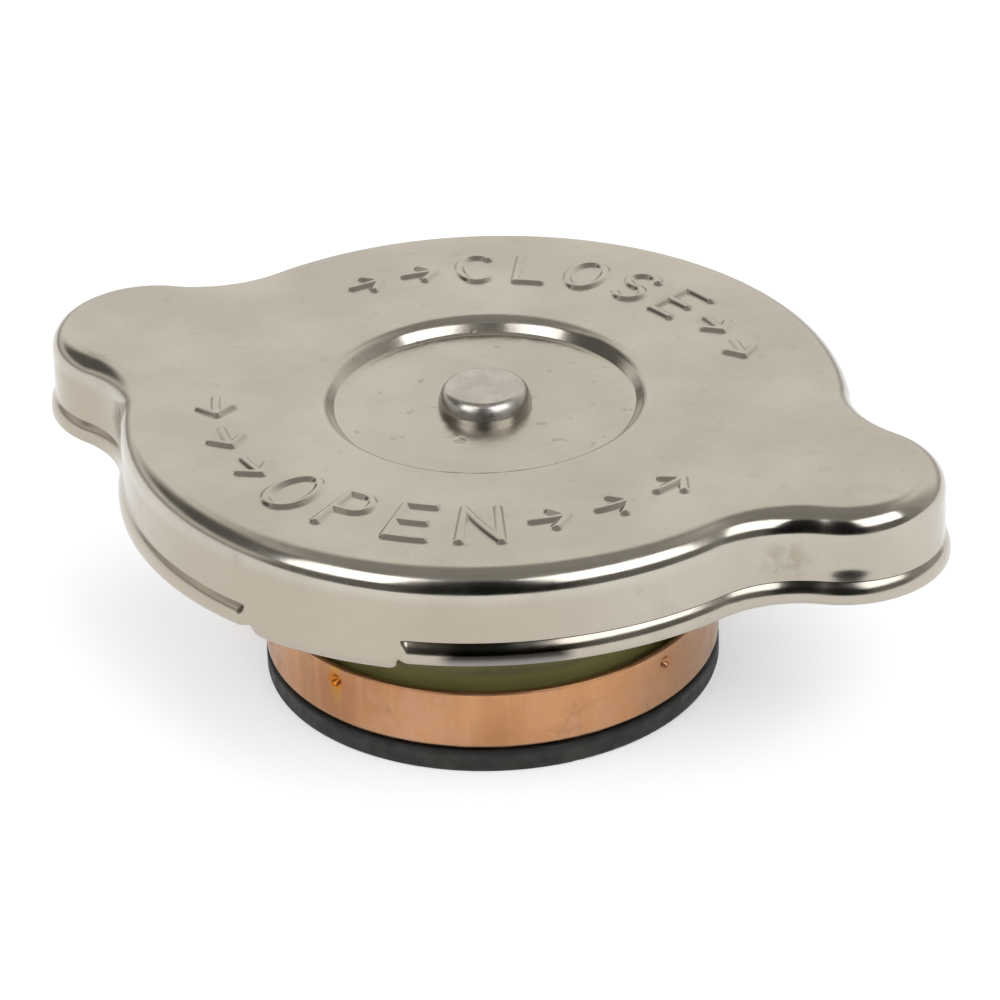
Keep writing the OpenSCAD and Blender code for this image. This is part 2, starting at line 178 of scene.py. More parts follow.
def arc(center, radius, start, end, steps):
    """Points on a circle from one angle to another, both ends included."""
    a = np.radians(start + (end - start) * np.arange(steps + 1) / steps)
    return np.stack([center[0] + radius * np.cos(a), center[1] + radius * np.sin(a)], 1)


def angles(start, end, count):
    """Even angles from start, without the end."""
    return start + (end - start) * np.arange(count) / count


# Cover: one sheet section swept round the plan, as in the part's source but finer


def cover_plan():
    """Places round the plan: centre, radius, bulge, angle, tang flag and degrees to the nearest tang end."""
    axis = (0, 0)
    ear = angles(-EAR_HALF, EAR_HALF, EAR_STEPS)
    right_hollow = angles(180 + EAR_HALF, 180 + SKIRT_FROM, HOLLOW_STEPS)
    left_hollow = angles(-SKIRT_FROM, -EAR_HALF, HOLLOW_STEPS)
    skirt = np.concatenate([
        angles(SKIRT_FROM, TANG_FROM - NEAR_TANG, SKIRT_STEPS),
        TANG_FROM - np.linspace(NEAR_TANG, 0, NEAR_TANG_STEPS),
    ])
    spread = np.sin(np.linspace(-0.5, 0.5, TANG_STEPS) * math.pi)
    half = [((EAR_X, 0), EAR_R, 1, a, False, FAR_FROM_TANG) for a in ear]
    half += [((FILLET_X, FILLET_Y), FILLET_R, -1, a, False, FAR_FROM_TANG) for a in right_hollow]
    half += [(axis, COVER_R, 1, a, False, TANG_FROM - a) for a in skirt]
    for s in spread:
        half.append((axis, COVER_R, 1, 90 + s * (TANG_HALF - TANG_END), True, TANG_HALF * (1 - abs(s))))
    half += [(axis, COVER_R, 1, 180 - a, False, TANG_FROM - a) for a in skirt[:0:-1]]
    half += [((-FILLET_X, FILLET_Y), FILLET_R, -1, a, False, FAR_FROM_TANG) for a in left_hollow]
    return half + [((-c[0], -c[1]), r, b, a + 180, t, d) for c, r, b, a, t, d in half]


def lip_loops():
    """The flared lip's section and the same loop without its flare, as [inset, z]."""
    half_t = COVER_T / 2
    upper = (-FLARE_HOLLOW_R, FLARE_TOP_Z)
    lower = (FLARE_ROUND_R - LIP_FLARE, FLARE_LOW_Z)
    outside = np.concatenate([
        arc(upper, FLARE_HOLLOW_R, 0, -FLARE_ANGLE, FLARE_HOLLOW_STEPS),
        arc(lower, FLARE_ROUND_R, 180 - FLARE_ANGLE, 180, FLARE_ROUND_STEPS),
    ])
    end = arc((half_t - LIP_FLARE, LIP_Z + half_t), half_t, 180, 360, LIP_END_STEPS)
    inside = np.concatenate([
        arc(lower, FLARE_ROUND_R - COVER_T, 180, 180 - FLARE_ANGLE, FLARE_ROUND_STEPS),
        arc(upper, FLARE_HOLLOW_R + COVER_T, -FLARE_ANGLE, 0, FLARE_HOLLOW_STEPS),
    ])
    plain = [outside * (0, 1), end + (LIP_FLARE, 0), inside * (0, 1) + (COVER_T, 0)]
    return np.concatenate([outside, end, inside]), np.concatenate(plain)


def tang_loop():
    """The tang's section, with as many points as the lip's and level with them on the upright wall."""
    bend = (TANG_BEND_R, TANG_Z + TANG_BEND_R)
    outside = lip_loops()[1][:LIP_SIDE_POINTS]
    return np.concatenate([
        outside,
        arc(bend, TANG_BEND_R, 180, 270, TANG_BEND_STEPS),
        [[TANG_W, TANG_Z], [TANG_W, TANG_Z + COVER_T]],
        arc(bend, TANG_BEND_R - COVER_T, 270, 180, TANG_BEND_UNDER_STEPS),
        outside[-2::-1] + (COVER_T, 0),
    ])


def cover_points():
    """Rings of the sheet's section, one for each place of the plan."""
    corner = (RECESS_R - RECESS_WALL_W, RECESS_FLOOR_Z + RECESS_FLOOR_R)
    rim = (RECESS_R, TOP_Z - RECESS_RIM_R)
    low, high = 270 + RECESS_WALL_ANGLE, 90 + RECESS_WALL_ANGLE
    floor_r = np.linspace(BORE_R, corner[0], RECESS_FLOOR_STEPS + 1)[:-1]
    above = np.concatenate([
        np.stack([floor_r, np.full(RECESS_FLOOR_STEPS, RECESS_FLOOR_Z)], 1),
        arc(corner, RECESS_FLOOR_R, 270, low, FLOOR_BEND_STEPS),
        arc(rim, RECESS_RIM_R, high, 90, RIM_STEPS),
    ])
    below = np.concatenate([
        arc(rim, RECESS_RIM_R - COVER_T, 90, high, RIM_UNDER_STEPS),
        arc(corner, RECESS_FLOOR_R + COVER_T, low, 270, FLOOR_BEND_UNDER_STEPS),
        [[BORE_R, RECESS_UNDER_Z]],
    ])
    edge = (EDGE_R, TOP_Z - EDGE_R)
    wall_z = edge[1] + (FLARE_TOP_Z - edge[1]) * np.linspace(0, 1, WALL_STEPS + 1)[1:-1]
    outside = np.concatenate([arc(edge, EDGE_R, 90, 180, EDGE_STEPS), np.stack([0 * wall_z, wall_z], 1)])
    inside = arc(edge, EDGE_R - COVER_T, 180, 90, EDGE_UNDER_STEPS)
    flared, plain = lip_loops()
    straight = tang_loop()
    hang = (FLARE_TOP_Z - straight[:, 1:]) / (FLARE_TOP_Z - TANG_Z) * (0, 1)
    share = (np.arange(1, PLATE_STEPS) / PLATE_STEPS)[:, None]
    rings = []
    for center, radius, bulge, angle, is_tang, to_end in cover_plan():
        out = np.array([math.cos(math.radians(angle)), math.sin(math.radians(angle))])

        def at(inset):
            return np.asarray(center) + (radius - bulge * np.asarray(inset)[:, None]) * out

        if is_tang:
            beside = min(to_end / TANG_CORNER, 1.0)
            loop = straight + hang * TANG_CORNER_H * (1 - math.sqrt(1 - (1 - beside) ** 2))
        else:
            loop = plain + (flared - plain) * smooth(to_end, 0.0, LIP_FADE)
        wall = np.concatenate([outside, loop, inside])
        wall = np.concatenate([at(wall[:, 0]), wall[:, 1:]], 1)
        toward = at([EDGE_R])[0]
        toward = toward / np.linalg.norm(toward)
        over = np.concatenate([above[:, :1] * toward, above[:, 1:]], 1)
        under = np.concatenate([below[:, :1] * toward, below[:, 1:]], 1)
        top = over[-1] + (wall[0] - over[-1]) * share
        rings.append(np.concatenate([over, top, wall, under]))
    return np.array(rings)


def cover_height(x, y):
    """Top face of the pressed sheet, very slightly uneven."""
    crossed = np.sin(0.21 * x + 0.8) * np.sin(0.19 * y + 2.1)
    return TOP_Z + WAVE_H * (crossed + 0.4 * np.sin(0.33 * x - 0.27 * y))


def cover_wear(points):
    """Small unevenness of the pressed sheet and the dent in the right ear's side."""
    p = points.copy()
    x, y, z = p[..., 0], p[..., 1], p[..., 2]
    p[..., 2] += smooth(z, TOP_Z - WAVE_FROM, TOP_Z - WAVE_FULL) * (cover_height(x, y) - TOP_Z)
    turn = math.radians(DENT_TURN)
    out = np.array([math.cos(turn), math.sin(turn)])
    along = -x * out[1] + y * out[0] + EAR_X * out[1]
    deep = (x - EAR_X) * out[0] + y * out[1]
    spread = (along / DENT_ALONG) ** 2 + ((z - DENT_Z) / DENT_UP) ** 2
    near = np.exp(-spread) * (deep > EAR_R - DENT_REACH)
    p[..., :2] -= (DENT_DEPTH * near)[..., None] * out
    return p


cover_rings = cover_wear(cover_points())
cover = mesh_object(
    "cover_pressing",
    cover_rings.reshape(-1, 3),
    ring_quads(len(cover_rings), len(cover_rings[0]))[:, ::-1],
    sharp=50,
)


# Raised marks on the cover: two generic words and plain arrows, each a soft ridge along its strokes


def bow(cx, cy, rx, ry, start, end, steps=20):
    """Points along part of an ellipse."""
    a = np.radians(np.linspace(start, end, steps))
    return np.stack([cx + rx * np.cos(a), cy + ry * np.sin(a)], 1)


def line(*points):
    return np.array(points)


# Strokes of each glyph in millimetres, on a box 6.2 high and about 4.4 wide
GLYPHS = {
    "O": [bow(0, 0, 2.2, 3.1, 0, 360, 40)],
    "P": [np.concatenate([[[-1.8, -3.1], [-1.8, 3.1]], bow(0.2, 1.5, 1.7, 1.6, 90, -90), [[-1.8, -0.1]]])],
    "E": [line([1.9, 3.1], [-1.8, 3.1], [-1.8, -3.1], [1.9, -3.1]), line([-1.8, 0.0], [1.4, 0.0])],
    "N": [line([-2.0, -3.1], [-2.0, 3.1], [2.0, -3.1], [2.0, 3.1])],
    "C": [bow(0.2, 0, 2.2, 3.1, 52, 308, 30)],
    "L": [line([-1.7, 3.1], [-1.7, -3.1], [1.9, -3.1])],
    "S": [np.concatenate([bow(0, 1.55, 1.8, 1.55, 30, 270), bow(0, -1.55, 1.8, 1.55, 90, -150)])],
    ">": [line([-1.9, 0.0], [1.9, 0.0]), line([0.3, 1.6], [1.9, 0.0], [0.3, -1.6])],
}

# Each row's middle in degrees, reading direction, side of the tops, degrees a glyph, glyph size and word
MARK_ROWS = (
    (274.0, 1, -1, 14.2, (0.82, 0.92), ">>>OPEN>>>"),
    (93.0, -1, 1, 12.6, (0.76, 0.8), ">>CLOSE>>"),
)
MARK_R = 24.3
MARK_H = 0.3
MARK_ROOT = 0.1
MARK_LIFT = 0.004
MARK_GRID = 0.08
MARK_REACH = 3.8
RIDGE_CREST = 0.08
RIDGE_FOOT = 0.64
TINY = 1e-9


def stroke_distance(p, strokes):
    """Distance of points from the nearest stroke."""
    best = np.full(len(p), np.inf)
    for stroke in strokes:
        for a, b in zip(stroke[:-1], stroke[1:]):
            d = b - a
            t = np.clip(((p - a) @ d) / max(d @ d, TINY), 0, 1)
            best = np.minimum(best, np.linalg.norm(p - (a + t[:, None] * d), axis=1))
    return best


def rim_edges(quads):
    """Directed sides of quads that no second quad shares."""
    sides = np.stack([quads, np.roll(quads, -1, axis=1)], -1).reshape(-1, 2)
    base = sides.max() + 1
    return sides[~np.isin(sides @ (base, 1), sides @ (1, base))]


def raised_marks():
    """Closed ridges rooted in the sheet; the front word's tops face the middle, the back word's the edge."""
    points, faces = [], []
    side = np.arange(-MARK_REACH, MARK_REACH + MARK_GRID / 2, MARK_GRID)
    s, t = np.meshgrid(side, side, indexing="ij")
    flat = np.stack([s.ravel(), t.ravel()], 1)
    quads = ring_quads(len(side), len(side), closed_rings=False, closed_sides=False)
    for middle, along, up, pitch, size, word in MARK_ROWS:
        for k, letter in enumerate(word):
            strokes = [stroke * size for stroke in GLYPHS[letter]]
            height = MARK_H * (1 - smooth(stroke_distance(flat, strokes), RIDGE_CREST, RIDGE_FOOT))
            turn = middle + along * pitch * (k - (len(word) - 1) / 2)
            theta = np.radians(turn) + along * flat[:, 0] / MARK_R
            rho = MARK_R + up * flat[:, 1]
            x, y = rho * np.cos(theta), rho * np.sin(theta)
            sheet = cover_height(x, y)
            keep = (height[quads] > 0).any(1)
            used = np.unique(quads[keep])
            count = len(used)
            where = np.full(len(flat), -1)
            where[used] = np.arange(count) + len(points)
            for z in (sheet + height + MARK_LIFT, sheet - MARK_ROOT):
                points.extend(np.stack([x, y, z], 1)[used].tolist())
            kept = where[quads[keep]]
            kept = kept if along * up < 0 else kept[:, ::-1]
            rim = rim_edges(kept)
            for part in (kept, kept[:, ::-1] + count, np.concatenate([rim[:, ::-1], rim + count], 1)):
                faces.extend(part.tolist())
    return mesh_object("cover_raised_marks", points, faces, sharp=70)


marks = raised_marks()


# Rivet: flat top with a crease, rounded shoulder, shank and clinched end, turned round the axis

RIVET_HEAD_R = 4.25
RIVET_HEAD_H = 1.9
RIVET_SHANK_R = 2.5
CLINCH_R = 4.2
CLINCH_TOP_Z = 23.66
CLINCH_H = 1.2
CLINCH_EDGE_R = 0.7
RIVET_AXIS_R = 0.01
RIVET_FLAT_R = 1.7

# Guide points of the head's shoulder, as [radius, height above the recess's floor]
RIVET_SHOULDER = np.array([[3.38, RIVET_HEAD_H], [3.95, 1.76], [RIVET_HEAD_R, 0.45]])
SHOULDER_POINTS = 15
CLINCH_EDGE_STEPS = 8


def rivet_profile():
    """Half section of the rivet as [radius, z], from the middle of its top to the middle of its end."""
    t = np.linspace(0, 1, SHOULDER_POINTS)[:, None]
    start, bend, end = RIVET_SHOULDER
    shoulder = (1 - t) ** 2 * start + 2 * t * (1 - t) * bend + t ** 2 * end
    edge = (CLINCH_R - CLINCH_EDGE_R, CLINCH_TOP_Z - CLINCH_H + CLINCH_EDGE_R)
    top_z = RECESS_FLOOR_Z + RIVET_HEAD_H
    return np.concatenate([
        [[RIVET_AXIS_R, top_z], [RIVET_FLAT_R, top_z]],
        shoulder + (0, RECESS_FLOOR_Z),
        [[RIVET_HEAD_R, RECESS_FLOOR_Z], [RIVET_SHANK_R, RECESS_FLOOR_Z]],
        [[RIVET_SHANK_R, CLINCH_TOP_Z], [CLINCH_R, CLINCH_TOP_Z]],
        arc(edge, CLINCH_EDGE_R, 0, -90, CLINCH_EDGE_STEPS),
        [[RIVET_AXIS_R, CLINCH_TOP_Z - CLINCH_H]],
    ])


def turned(name, profile, steps, sharp):
    """Solid turned from a half section, closed by a small face at each end."""
    a = 2 * math.pi * np.arange(steps)[:, None] / steps
    points = np.stack([profile[:, 0] * np.cos(a), profile[:, 0] * np.sin(a), profile[:, 1] + 0 * a], -1)
    faces = ring_quads(steps, len(profile), closed_sides=False)[:, ::-1].tolist()
    first = np.arange(steps) * len(profile)
    faces += [first.tolist(), (first[::-1] + len(profile) - 1).tolist()]
    return mesh_object(name, points.reshape(-1, 3), faces, sharp)


rivet = turned("rivet_turned", rivet_profile(), steps=96, sharp=11)


# Cup: drawn sheet with a rounded corner and rim, its wall pressed in at four stakes

CUP_R = 21.0
CUP_T = 0.6
CUP_Z = 2.2
CUP_TOP_Z = 8.3
CUP_CORNER_R = 0.9
CUP_BORE_R = 5.55
STAKE_COUNT = 4
STAKE_TURN = -15.6
STAKE_Z = 6.8
STAKE_R = 0.75
STAKE_DEPTH = 0.5

# Close places round each stake: degrees to each side, and height above and below it
STAKE_BESIDE = 3
STAKE_ABOVE = 0.9

# Steps along the cup's section, and places round it at a stake and between two
CUP_WALL_POINTS = 25
CUP_CORNER_STEPS = 12
CUP_CORNER_INSIDE_STEPS = 6
CUP_RIM_STEPS = 14
STAKE_PLACES = 48
BETWEEN_PLACES = 56


def cup_points():
    """Rings of the cup's sheet, from its hole round the corner, over the rim and back."""
    corner = (CUP_R - CUP_CORNER_R, CUP_Z + CUP_CORNER_R)
    rim = (CUP_R - CUP_T / 2, CUP_TOP_Z - CUP_T / 2)
    wall_z = STAKE_Z + np.linspace(-STAKE_ABOVE, STAKE_ABOVE, CUP_WALL_POINTS)
    wall = np.stack([CUP_R + 0 * wall_z, wall_z], 1)
    profile = np.concatenate([
        [[CUP_BORE_R, CUP_Z]],
        arc(corner, CUP_CORNER_R, 270, 360, CUP_CORNER_STEPS),
        wall,
        arc(rim, CUP_T / 2, 0, 180, CUP_RIM_STEPS),
        wall[::-1] - (CUP_T, 0),
        arc(corner, CUP_CORNER_R - CUP_T, 360, 270, CUP_CORNER_INSIDE_STEPS),
        [[CUP_BORE_R, CUP_Z + CUP_T]],
    ])
    apart = 360 // STAKE_COUNT
    beside = np.linspace(-STAKE_BESIDE, STAKE_BESIDE, STAKE_PLACES + 1)[:-1]
    between = angles(STAKE_BESIDE, apart - STAKE_BESIDE, BETWEEN_PLACES)
    stakes = STAKE_TURN + apart * np.arange(STAKE_COUNT)[:, None]
    turn = np.radians(stakes + np.concatenate([beside, between])).reshape(-1, 1)
    from_stake = np.tile(np.concatenate([beside, 0 * between + apart]), STAKE_COUNT)
    along = CUP_R * np.radians(from_stake).reshape(-1, 1)
    pressed = 1 - smooth(np.hypot(along, profile[:, 1] - STAKE_Z), 0.0, STAKE_R)
    reach = profile[:, 0] - STAKE_DEPTH * pressed
    return np.stack([reach * np.cos(turn), reach * np.sin(turn), profile[:, 1] + 0 * turn], -1)


cup_rings = cup_points()
cup = mesh_object(
    "cup_drawn",
    cup_rings.reshape(-1, 3),
    ring_quads(len(cup_rings), len(cup_rings[0])),
    sharp=50,
)


# Coil springs with closed, ground ends

# Rise of a closed end turn and depth of grinding, in wire thicknesses
CLOSED_RISE = 1.05
GROUND = 0.1


def coil(name, radius, wire, turns, low, high, steps, sides):
    """Round wire wound between two heights, with its pitch eased where the end turns close."""
    count = int(turns * steps)
    turn = turns * np.arange(count + 1) / count
    closed = CLOSED_RISE * wire
    rise = (high - low - 2 * GROUND * wire - 2 * closed) / (turns - 2)
    z = low + GROUND * wire + closed * np.minimum(turn, 1) + rise * np.clip(turn - 1, 0, turns - 2)
    z = z + closed * np.maximum(0, turn - turns + 1)
    ease = steps // 8
    window = ease * 2 + 1
    padded = np.pad(z, ease, mode="reflect", reflect_type="odd")
    z = np.convolve(padded, np.ones(window), "valid") / window
    around = 2 * math.pi * turn[:, None]
    beside = 2 * math.pi * np.arange(sides)[None, :] / sides
    reach = radius + wire / 2 * np.cos(beside)
    height = np.clip(z[:, None] + wire / 2 * np.sin(beside), low, high)
    points = np.stack([reach * np.cos(around), reach * np.sin(around), height + 0 * around], -1)
    faces = ring_quads(count + 1, sides, closed_rings=False).tolist()
    first = np.arange(sides)
    faces += [first.tolist(), (first[::-1] + count * sides).tolist()]
    return mesh_object(name, points.reshape(-1, 3), faces, sharp=40)


main_spring = coil("main_coil", radius=16.1, wire=2.0, turns=5.5, low=2.8, high=23.7, steps=72, sides=18)
light_spring = coil("light_coil", radius=2.05, wire=0.5, turns=7.0, low=3.2, high=9.6, steps=48, sides=12)


# Materials


def node_material(name):
    """New material and its node tree."""
    material = bpy.data.materials.new(name)
    material.use_nodes = True
    return material, material.node_tree


class Paint:
    """One node material: a Principled shader with helpers to feed its sockets."""

    def __init__(self, name, color, metallic, roughness):
        self.material, self.tree = node_material(name)
        self.shader = self.tree.nodes["Principled BSDF"]
        self.shader.inputs["Base Color"].default_value = (*color, 1)
        self.shader.inputs["Metallic"].default_value = metallic
        self.shader.inputs["Roughness"].default_value = roughness
        self.place = self.tree.nodes.new("ShaderNodeTexCoord").outputs["Object"]
        self.bumped = None

    def node(self, kind, inputs=None, **settings):
        made = self.tree.nodes.new(kind)
        for key, value in settings.items():
            setattr(made, key, value)
        for key, value in (inputs or {}).items():
            if isinstance(value, bpy.types.NodeSocket):
                self.tree.links.new(value, made.inputs[key])
            else:
                made.inputs[key].default_value = value
        return made

    def vector(self, operation, a, b=None, result=0):
        inputs = {0: a} if b is None else {0: a, 1: b}
        return self.node("ShaderNodeVectorMath", inputs, operation=operation).outputs[result]

    def stretched(self, scale):
        return self.node("ShaderNodeMapping", {"Vector": self.place, "Scale": scale}).outputs["Vector"]

    def noise(self, scale, detail=3.0, rough=0.55, vector=None):
        inputs = {"Vector": vector or self.place, "Scale": scale, "Detail": detail, "Roughness": rough}
        return self.node("ShaderNodeTexNoise", inputs).outputs["Fac"]

    def ramp(self, value, low, high, start=0.0, end=1.0):
        inputs = {"Value": value, "From Min": low, "From Max": high, "To Min": start, "To Max": end}
        return self.node("ShaderNodeMapRange", inputs, interpolation_type="SMOOTHSTEP").outputs["Result"]

    def math(self, operation, a, b):
        return self.node("ShaderNodeMath", {0: a, 1: b}, operation=operation).outputs[0]

    def times(self, a, b):
        return self.math("MULTIPLY", a, b)

    def mix(self, share, a, b):
        made = self.tree.nodes.new("ShaderNodeMix")
        made.data_type = "RGBA"
        for socket, value in ((made.inputs[0], share), (made.inputs[6], a), (made.inputs[7], b)):
            if isinstance(value, bpy.types.NodeSocket):
                self.tree.links.new(value, socket)
            elif isinstance(value, (int, float)):
                socket.default_value = value
            else:
                socket.default_value = (*value, 1)
        return made.outputs[2]

    def height(self):
        return self.node("ShaderNodeSeparateXYZ", {0: self.place}).outputs[2]

    def radius(self):
        """Distance from the cap's axis."""
        return self.vector("LENGTH", self.vector("MULTIPLY", self.place, (1, 1, 0)), result="Value")

    def away(self, center, scale=(1, 1, 1)):
        """Distance from a place, with each axis scaled."""
        moved = self.vector("SUBTRACT", self.place, center)
        return self.vector("LENGTH", self.vector("MULTIPLY", moved, scale), result="Value")

    def toward(self, direction):
        """Place measured along a direction."""
        return self.vector("DOT_PRODUCT", self.place, direction, result="Value")

    def slanting(self):
        """1 on bends, 0 on level and upright faces."""
        normal = self.node("ShaderNodeNewGeometry").outputs["Normal"]
        tilt = self.math("ABSOLUTE", self.node("ShaderNodeSeparateXYZ", {0: normal}).outputs[2], 0.0)
        return self.times(self.ramp(tilt, 0.03, 0.14), self.ramp(tilt, 0.94, 0.992, 1.0, 0.0))

    def color(self, socket):
        self.tree.links.new(socket, self.shader.inputs["Base Color"])

    def roughness(self, socket):
        self.tree.links.new(socket, self.shader.inputs["Roughness"])

    def bump(self, height, strength, distance):
        inputs = {"Height": height, "Strength": strength, "Distance": distance}
        if self.bumped:
            inputs["Normal"] = self.bumped
        self.bumped = self.node("ShaderNodeBump", inputs).outputs["Normal"]
        self.tree.links.new(self.bumped, self.shader.inputs["Normal"])


# Directions across the cap as the photo shows it: to the camera, to its right, and along the ears
TO_FRONT = (0.4848, -0.8746, 0)
TO_RIGHT = (0.891, 0.454, 0)
ALONG_EARS = (1, 0, 0)


def nickel():
    """Bright nickel plate: satin flats, burnished bends, clouding, stains, pits; painted shade makes the
    skirt darker and warmer, and a painted reflection darkens the front of the lip.
    """
    p = Paint("nickel_plate", (0.435, 0.4, 0.337), 1.0, 0.3)
    bends = p.slanting()
    height = p.height()
    tone = p.mix(p.ramp(p.noise(70, 3), 0.35, 0.68), (0.42, 0.386, 0.325), (0.475, 0.438, 0.372))
    stains = p.times(p.ramp(p.noise(130, 5, 0.65), 0.60, 0.74), p.ramp(height, 0.0255, 0.0262, 1.0, 0.25))
    tone = p.mix(p.times(stains, 0.28), tone, (0.28, 0.26, 0.212))
    specks = p.ramp(p.noise(520, 2, 0.6), 0.64, 0.72)
    inner = p.times(specks, p.ramp(p.radius(), 0.0142, 0.0150, 1.0, 0.25))
    tone = p.mix(p.times(inner, 0.4), tone, (0.22, 0.208, 0.18))
    smear_at = p.ramp(p.away((0.0338, -0.0101, 0.0228)), 0.0008, 0.003, 1.0, 0.0)
    smear = p.times(smear_at, p.ramp(p.noise(700, 4, 0.6), 0.36, 0.6, 0.2, 1.0))
    tone = p.mix(p.times(smear, 0.55), tone, (0.24, 0.20, 0.14))
    # Painted shade: the skirt below the top edge is made darker and warmer, less so toward the right ear
    ear_share = p.ramp(p.toward(ALONG_EARS), 0.015, 0.034, 1.0, 0.3)
    skirt = p.times(p.ramp(height, 0.0243, 0.0255, 0.6, 0.0), ear_share)
    tone = p.mix(skirt, tone, (0.37, 0.315, 0.24))
    # Painted reflection: a near-black band low on the front of the lip, grey at its very bottom
    front = p.ramp(p.toward(TO_FRONT), 0.0330, 0.0333)
    lip = p.times(front, p.ramp(height, 0.0200, 0.0205, 0.95, 0.0))
    painted_lip_reflection = p.mix(p.ramp(height, 0.0190, 0.0197), (0.22, 0.212, 0.2), (0.02, 0.018, 0.016))
    p.color(p.mix(lip, tone, painted_lip_reflection))
    satin = p.ramp(p.noise(210, 4), 0.3, 0.75, 0.15, 0.26)
    p.roughness(p.times(satin, p.ramp(bends, 0.0, 1.0, 1.0, 0.85)))
    p.bump(p.noise(420, 2), p.ramp(bends, 0.0, 1.0, 0.10, 0.03), 0.0004)
    p.bump(p.noise(1400, 2), p.ramp(bends, 0.0, 1.0, 0.10, 0.02), 0.00008)
    p.bump(specks, p.ramp(p.radius(), 0.0138, 0.0146, 0.12, 0.0), 0.0001)
    return p.material


def rivet_steel():
    """Plated rivet: cooler grey, satin, with small nicks."""
    p = Paint("rivet_steel", (0.44, 0.41, 0.365), 1.0, 0.25)
    p.color(p.mix(p.ramp(p.noise(420, 3), 0.35, 0.7), (0.41, 0.385, 0.34), (0.49, 0.458, 0.41)))
    p.roughness(p.ramp(p.noise(900, 3), 0.3, 0.7, 0.24, 0.36))
    p.bump(p.noise(1500, 3), 0.06, 0.0001)
    return p.material


def copper():
    """Copper-coloured cup: satin drawn sheet, clouded, with stains at two stake marks; painted shade darkens
    its right side and a painted highlight pales its lower corner.
    """
    p = Paint("copper", (0.48, 0.23, 0.105), 1.0, 0.32)
    left = (-0.00565, -0.02023, 0.0068)
    right = (0.02023, -0.00565, 0.0068)
    height = p.height()
    streak = p.noise(1, 3, 0.6, p.stretched((900, 900, 60)))
    base = p.mix(p.ramp(p.noise(90, 4, 0.6), 0.3, 0.7), (0.40, 0.19, 0.09), (0.585, 0.295, 0.14))
    for share, tint in (
        (p.ramp(streak, 0.45, 0.75, 0.0, 0.4), (0.60, 0.34, 0.18)),
        (p.ramp(p.noise(170, 4, 0.65), 0.5, 0.66, 0.0, 0.6), (0.56, 0.315, 0.205)),
        (p.ramp(p.noise(300, 4, 0.7), 0.55, 0.7, 0.0, 0.5), (0.33, 0.19, 0.11)),
        # Painted shade: the cup's right side darker
        (p.ramp(p.toward(TO_RIGHT), 0.008, 0.021, 0.0, 0.75), (0.33, 0.20, 0.12)),
        # Painted highlight: the cup's rounded lower corner paler
        (p.ramp(height, 0.0024, 0.0032, 0.5, 0.0), (0.52, 0.36, 0.22)),
        (p.ramp(p.away(left, (1, 1, 0.3)), 0.0002, 0.00095, 0.75, 0.0), (0.50, 0.25, 0.04)),
        (p.ramp(p.away(left), 0.0006, 0.0011, 0.85, 0.0), (0.50, 0.16, 0.02)),
        (p.ramp(p.away(right), 0.0006, 0.0016, 0.5, 0.0), (0.42, 0.17, 0.075)),
    ):
        base = p.mix(share, base, tint)
    p.color(base)
    p.roughness(p.ramp(p.noise(350, 4), 0.3, 0.75, 0.26, 0.46))
    below_rim = p.ramp(height, 0.0072, 0.0079, 1.0, 0.0)
    p.bump(streak, p.times(below_rim, 0.12), 0.0001)
    p.bump(p.noise(1200, 2), p.times(below_rim, 0.1), 0.00008)
    return p.material


def olive():
    """Bell: olive passivated sheet, matt and stained, with painted light that makes it lighter near the cup's
    rim.
    """
    p = Paint("bell_brass", (0.17, 0.16, 0.075), 0.25, 0.5)
    base = p.mix(p.ramp(p.noise(160, 4), 0.3, 0.7), (0.135, 0.125, 0.045), (0.215, 0.20, 0.075))
    # Painted light: the lowest millimetre of the bell, just above the cup's rim, made lighter
    p.color(p.mix(p.ramp(p.height(), 0.0083, 0.0093, 0.8, 0.0), base, (0.40, 0.36, 0.12)))
    p.roughness(p.ramp(p.noise(400, 3), 0.3, 0.7, 0.42, 0.6))
    p.bump(p.noise(900, 3), 0.15, 0.0001)
    return p.material


def brass():
    """Plain brass: satin, with light tarnish."""
    p = Paint("brass", (0.56, 0.40, 0.15), 1.0, 0.3)
    p.color(p.mix(p.ramp(p.noise(220, 4), 0.3, 0.72), (0.47, 0.32, 0.115), (0.62, 0.46, 0.19)))
    p.roughness(p.ramp(p.noise(600, 3), 0.3, 0.7, 0.22, 0.42))
    p.bump(p.noise(1300, 3), 0.12, 0.0001)
    return p.material


def spring_steel():
    """Drawn spring wire and sheet: dark satin steel, faintly uneven."""
    p = Paint("spring_steel", (0.36, 0.36, 0.35), 1.0, 0.32)
    p.color(p.mix(p.ramp(p.noise(260, 4), 0.3, 0.7), (0.29, 0.29, 0.285), (0.42, 0.42, 0.41)))
    p.roughness(p.ramp(p.noise(800, 3), 0.3, 0.7, 0.24, 0.44))
    p.bump(p.noise(1600, 2), 0.12, 0.00008)
    return p.material


def rubber():
    """Moulded rubber: matt, slightly greyed, with a fine grain and painted shade along its upper edge under
    the cup.
    """
    p = Paint("rubber", (0.03, 0.028, 0.025), 0.0, 0.6)
    base = p.mix(p.ramp(p.noise(240, 4), 0.35, 0.75), (0.014, 0.0125, 0.0095), (0.030, 0.0275, 0.0215))
    # Painted shade: the gasket's upper edge, under the cup, made near black
    p.color(p.mix(p.ramp(p.height(), 0.0015, 0.0019, 0.0, 0.85), base, (0.003, 0.0035, 0.003)))
    p.roughness(p.ramp(p.noise(700, 3), 0.3, 0.7, 0.5, 0.72))
    p.bump(p.noise(2200, 3), 0.3, 0.0001)
    p.bump(p.noise(300, 3), 0.2, 0.0002)
    return p.material


MATERIALS = {
    "nickel_plate": nickel(),
    "rivet_steel": rivet_steel(),
    "copper": copper(),
    "bell_brass": olive(),
    "brass": brass(),
    "spring_steel": spring_steel(),
    "rubber": rubber(),
}


